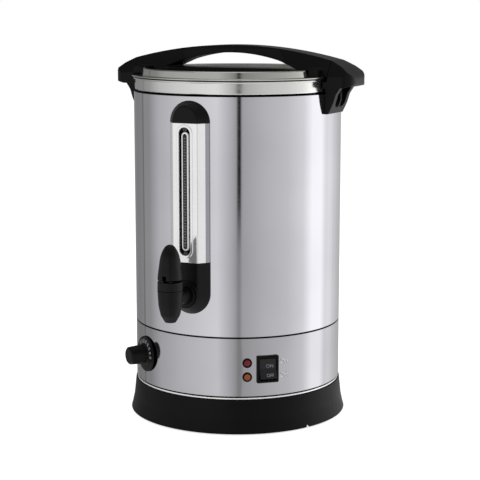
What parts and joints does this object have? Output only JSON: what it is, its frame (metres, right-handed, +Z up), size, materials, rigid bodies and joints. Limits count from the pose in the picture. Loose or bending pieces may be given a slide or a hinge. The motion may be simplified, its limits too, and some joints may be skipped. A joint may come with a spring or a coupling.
{
  "type": "hot water urn",
  "caption": "Cylindrical stainless hot water urn with arched lid handle, side ears, sight gauge over a lever tap, thermostat knob, rocker switch, pilot lamps and flared black base.",
  "frame": {"origin": "centre of the round footprint, on the table", "axes": "+Z up, -Y out of the front where the tap is, +X to the viewer's right when facing the tap, along the handles"},
  "size_m": [0.302, 0.3073, 0.4291],
  "materials": {
    "polished_steel": "polished stainless sheet",
    "black_plastic": "fine satin black, heat-resistant",
    "black_gloss": "semi-gloss black",
    "black_rubber": "matt black",
    "silicone": "translucent silicone, matt",
    "plain_steel": "plain stainless",
    "aluminium_plate": "cast, matt",
    "copper": "bright copper",
    "brass": "bright brass",
    "white_ceramic": "unglazed ceramic",
    "clear_glass": "clear",
    "pale_scale": "pale printed strip",
    "red_lens": "coloured clear plastic",
    "amber_lens": "coloured clear plastic",
    "red_button": "gloss red"
  },
  "bodies": {
    "urn": {"base_skirt": "black_plastic", "bottom_plate": "plain_steel", "rubber_feet": "black_rubber", "foot_screws": "plain_steel", "tie_rods": "plain_steel", "tie_nuts": "plain_steel", "trim_ring": "polished_steel", "control_band": "polished_steel", "outer_shell": "polished_steel", "inner_tank": "polished_steel", "heater_plate": "aluminium_plate", "heating_element": "plain_steel", "sensor_bulb": "copper", "capillary_tube": "copper", "thermostat_body": "black_plastic", "rocker_housing": "black_gloss", "switch_terminals": "plain_steel", "lamp_housings": "black_plastic", "heating_lens": "red_lens", "keep_warm_lens": "amber_lens", "power_inlet": "black_plastic", "inlet_pins": "plain_steel", "inlet_screws": "plain_steel", "reset_cutout": "black_plastic", "terminal_block": "white_ceramic", "terminal_screws": "brass", "tap_housing": "black_plastic", "gauge_cover": "polished_steel", "gauge_cap": "black_plastic", "gauge_panel": "black_plastic", "gauge_lens": "clear_glass", "gauge_screws": "plain_steel", "sight_tube": "clear_glass", "gauge_seals": "silicone", "gauge_unions": "plain_steel", "level_scale": "pale_scale", "tap_body": "black_plastic", "tap_spacer": "black_plastic", "tap_collar": "black_plastic", "tap_washers": "silicone", "tap_nut": "black_plastic", "tap_bonnet": "black_plastic", "valve_spring": "plain_steel", "handle_right": "black_plastic", "handle_left": "black_plastic", "handle_screws": "plain_steel"},
    "lid_seal": {"lid_gasket": "silicone"},
    "lid": {"lid_plate": "polished_steel", "lid_inner_pan": "polished_steel", "lid_screws": "plain_steel", "lid_handle": "black_plastic"},
    "knob": {"thermostat_knob": "black_plastic", "thermostat_shaft": "plain_steel"},
    "rocker": {"rocker": "black_gloss"},
    "lever": {"tap_lever": "black_plastic", "lever_pin": "plain_steel"},
    "valve": {"valve_stem": "plain_steel", "valve_plug": "silicone"},
    "reset_button": {"reset_button": "red_button"}
  },
  "joints": [
    {"name": "lid_lift", "type": "slide", "parent": "urn", "child": "lid_seal", "axis": [0, 0, 1], "range_m": [0, 0.15]},
    {"name": "lid_turn", "type": "hinge", "parent": "lid_seal", "child": "lid", "pos_m": [0, 0, 0.3943], "axis": [0, 0, 1], "range_deg": [0, 30]},
    {"name": "knob_turn", "type": "hinge", "parent": "urn", "child": "knob", "pos_m": [-0.07457, -0.10649, 0.0775], "axis": [0.5736, 0.8192, 0], "range_deg": [0, 270]},
    {"name": "rocker_tilt", "type": "hinge", "parent": "urn", "child": "rocker", "pos_m": [0.07896, -0.08769, 0.074], "axis": [0.7431, 0.6691, 0], "range_deg": [0, 20]},
    {"name": "lever_pull", "type": "hinge", "parent": "urn", "child": "lever", "pos_m": [0, -0.176, 0.1852], "axis": [1, 0, 0], "range_deg": [0, 30], "stiffness_Nm_per_rad": 0.05, "springref_deg": -34.38},
    {"name": "valve_lift", "type": "slide", "parent": "urn", "child": "valve", "axis": [0, 0, 1], "range_m": [0, 0.005], "deforming": ["valve_spring"]},
    {"name": "reset_push", "type": "slide", "parent": "urn", "child": "reset_button", "axis": [-0.5299, -0.848, 0], "range_m": [0, 0.0015], "stiffness_N_per_m": 400, "springref_m": -0.001}
  ],
  "couplings": [
    {"joint": "valve_lift", "follows": "lever_pull", "m_per_rad": 0.0095}
  ]
}
